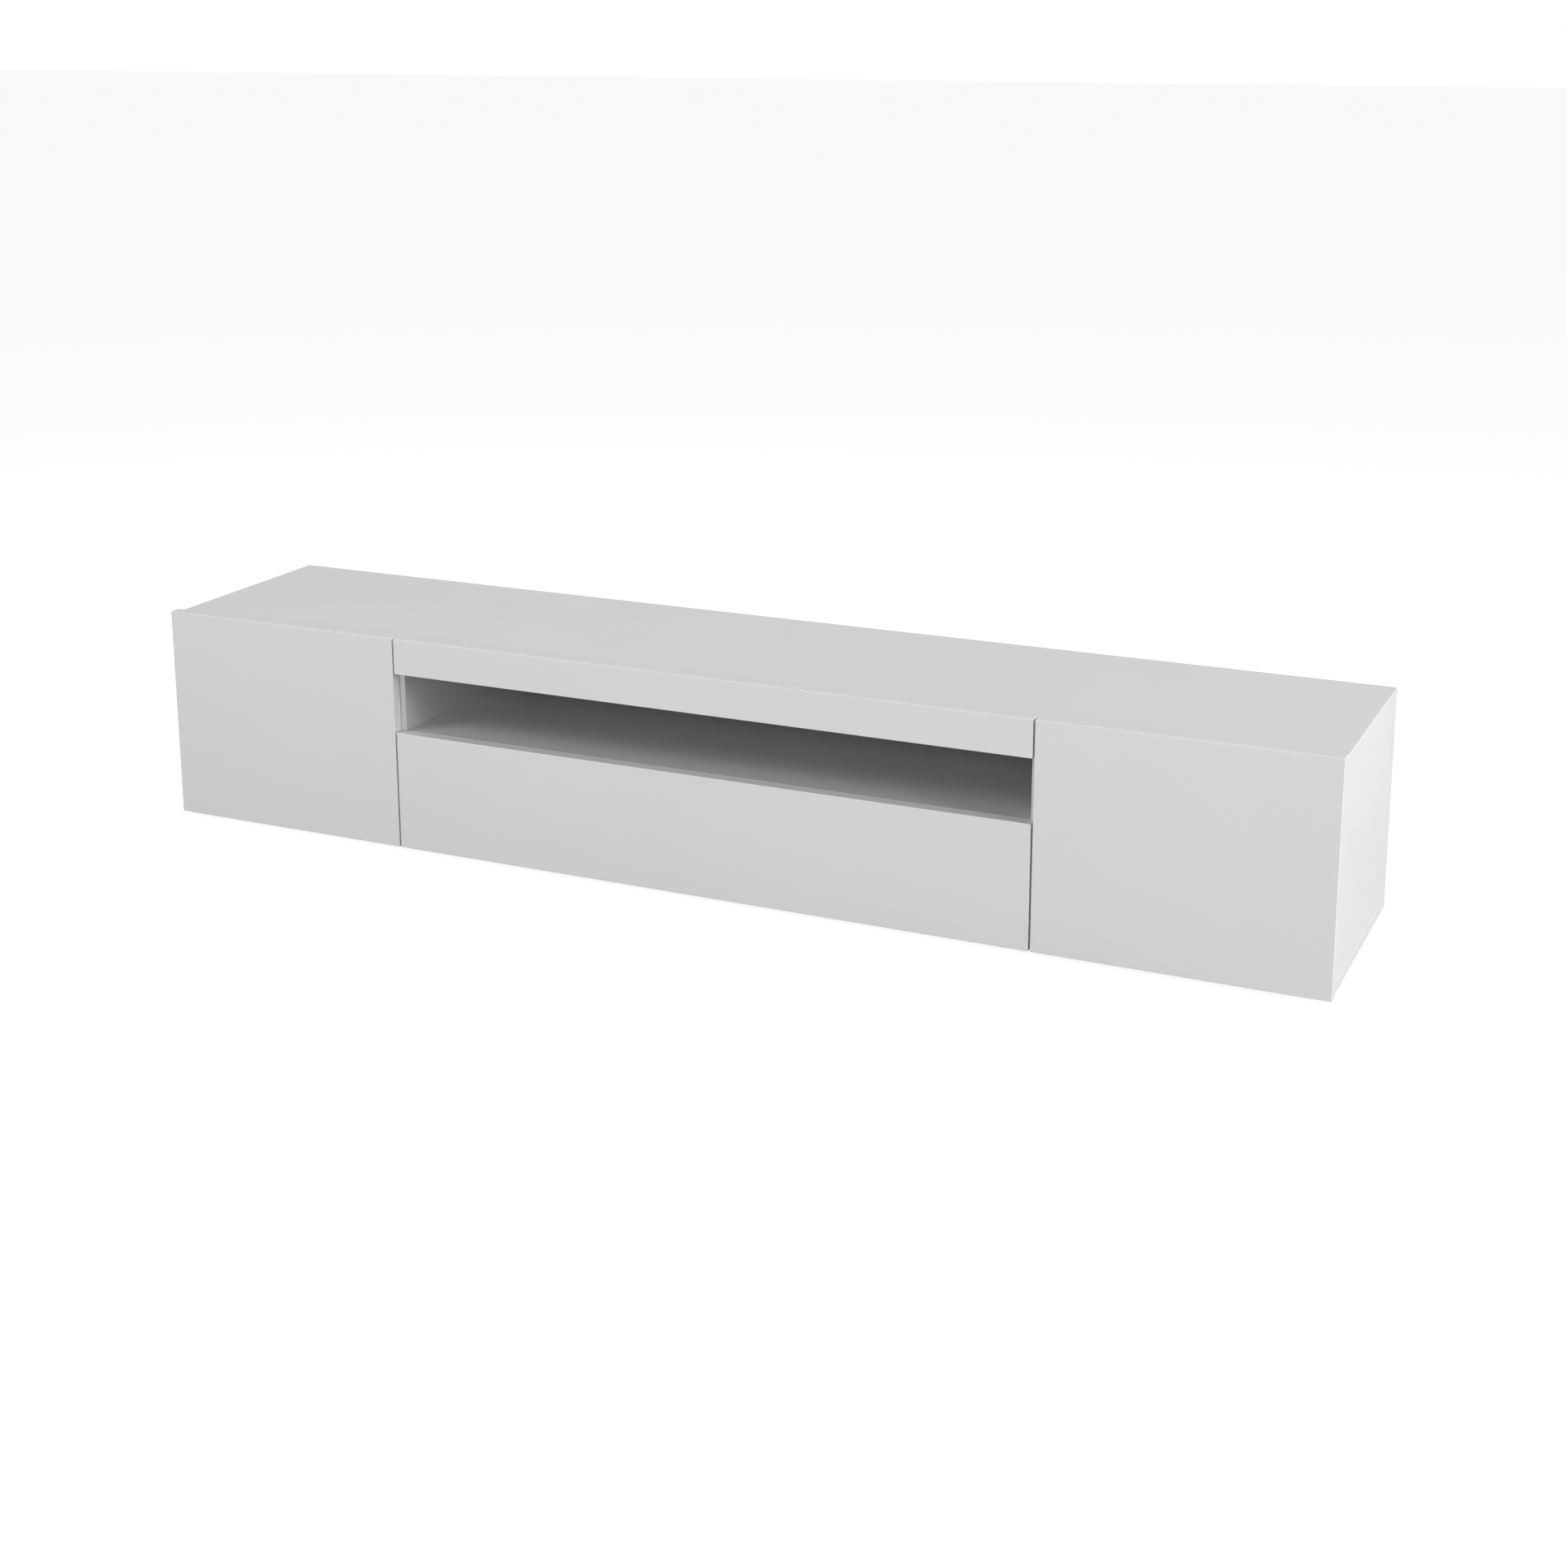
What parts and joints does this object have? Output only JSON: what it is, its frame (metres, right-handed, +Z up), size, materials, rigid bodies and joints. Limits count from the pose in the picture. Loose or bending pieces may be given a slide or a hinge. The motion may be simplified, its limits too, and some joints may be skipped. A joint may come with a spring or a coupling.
{
  "type": "television cabinet",
  "caption": "Long low white lacquered television cabinet with handleless side doors, an open centre niche and a drop flap below it.",
  "frame": {"origin": "centre of the footprint, on the floor", "axes": "+X along the length to the right as seen from the front, +Y to the back, +Z up; the fronts face -Y"},
  "size_m": [2, 0.4, 0.368],
  "materials": {
    "white_lacquered_board": "satin-gloss white lacquer over fibreboard",
    "white_hardboard": "white-faced hardboard, semi-matte",
    "beech": "fluted beech, raw",
    "white_plastic": "moulded, matte",
    "grey_plastic": "moulded, matte",
    "clear_bumper": "soft translucent",
    "zinc_die_cast": "die cast, dull",
    "nickel_plated_steel": "nickel plated"
  },
  "bodies": {
    "carcass": {"top_panel": "white_lacquered_board", "bottom_panel": "white_lacquered_board", "left_side_panel": "white_lacquered_board", "right_side_panel": "white_lacquered_board", "left_partition": "white_lacquered_board", "right_partition": "white_lacquered_board", "niche_shelf": "white_lacquered_board", "fascia": "white_lacquered_board", "fascia_rail": "white_lacquered_board", "left_back_panel": "white_hardboard", "centre_back_panel": "white_hardboard", "right_back_panel": "white_hardboard", "left_shelf": "white_lacquered_board", "right_shelf": "white_lacquered_board", "shelf_pins": "nickel_plated_steel", "floor_glides": "white_plastic", "cam_locks": "zinc_die_cast", "cam_bolts": "nickel_plated_steel", "dowels": "beech", "carcass_screws": "nickel_plated_steel", "rail_screws": "nickel_plated_steel", "left_hinge_plates": "nickel_plated_steel", "right_hinge_plates": "nickel_plated_steel", "flap_hinge_plates": "nickel_plated_steel", "left_hinge_arms": "nickel_plated_steel", "right_hinge_arms": "nickel_plated_steel", "flap_hinge_arms": "nickel_plated_steel", "hinge_plate_screws": "nickel_plated_steel", "hinge_arm_screws": "nickel_plated_steel", "latch_housings": "grey_plastic", "latch_screws": "nickel_plated_steel", "door_bumpers": "clear_bumper"},
    "left_door_leaf": {"left_door": "white_lacquered_board", "left_hinge_cups": "nickel_plated_steel", "left_hinge_pins": "nickel_plated_steel", "left_cup_screws": "nickel_plated_steel", "left_strike_plates": "nickel_plated_steel"},
    "right_door_leaf": {"right_door": "white_lacquered_board", "right_hinge_cups": "nickel_plated_steel", "right_hinge_pins": "nickel_plated_steel", "right_cup_screws": "nickel_plated_steel", "right_strike_plates": "nickel_plated_steel"},
    "flap_leaf": {"flap": "white_lacquered_board", "flap_hinge_cups": "nickel_plated_steel", "flap_hinge_pins": "nickel_plated_steel", "flap_cup_screws": "nickel_plated_steel", "flap_strike_plates": "nickel_plated_steel"},
    "left_latch_plunger": {"left_latch_plunger": "white_plastic"},
    "right_latch_plunger": {"right_latch_plunger": "white_plastic"},
    "flap_left_latch_plunger": {"flap_left_latch_plunger": "white_plastic"},
    "flap_right_latch_plunger": {"flap_right_latch_plunger": "white_plastic"}
  },
  "joints": [
    {"name": "left_door_hinge", "type": "hinge", "parent": "carcass", "child": "left_door_leaf", "pos_m": [-0.99276, -0.19115, 0.188], "axis": [0, 0, -1], "range_deg": [0, 95]},
    {"name": "right_door_hinge", "type": "hinge", "parent": "carcass", "child": "right_door_leaf", "pos_m": [0.99276, -0.19115, 0.188], "axis": [0, 0, 1], "range_deg": [0, 95]},
    {"name": "flap_hinge", "type": "hinge", "parent": "carcass", "child": "flap_leaf", "pos_m": [0, -0.19115, 0.01524], "axis": [1, 0, 0], "range_deg": [0, 90]},
    {"name": "left_latch_press", "type": "slide", "parent": "carcass", "child": "left_latch_plunger", "axis": [0, 1, 0], "range_m": [0, 0.002], "stiffness_N_per_m": 600, "springref_m": -0.001},
    {"name": "right_latch_press", "type": "slide", "parent": "carcass", "child": "right_latch_plunger", "axis": [0, 1, 0], "range_m": [0, 0.002], "stiffness_N_per_m": 600, "springref_m": -0.001},
    {"name": "flap_left_latch_press", "type": "slide", "parent": "carcass", "child": "flap_left_latch_plunger", "axis": [0, 1, 0], "range_m": [0, 0.002], "stiffness_N_per_m": 600, "springref_m": -0.001},
    {"name": "flap_right_latch_press", "type": "slide", "parent": "carcass", "child": "flap_right_latch_plunger", "axis": [0, 1, 0], "range_m": [0, 0.002], "stiffness_N_per_m": 600, "springref_m": -0.001}
  ]
}
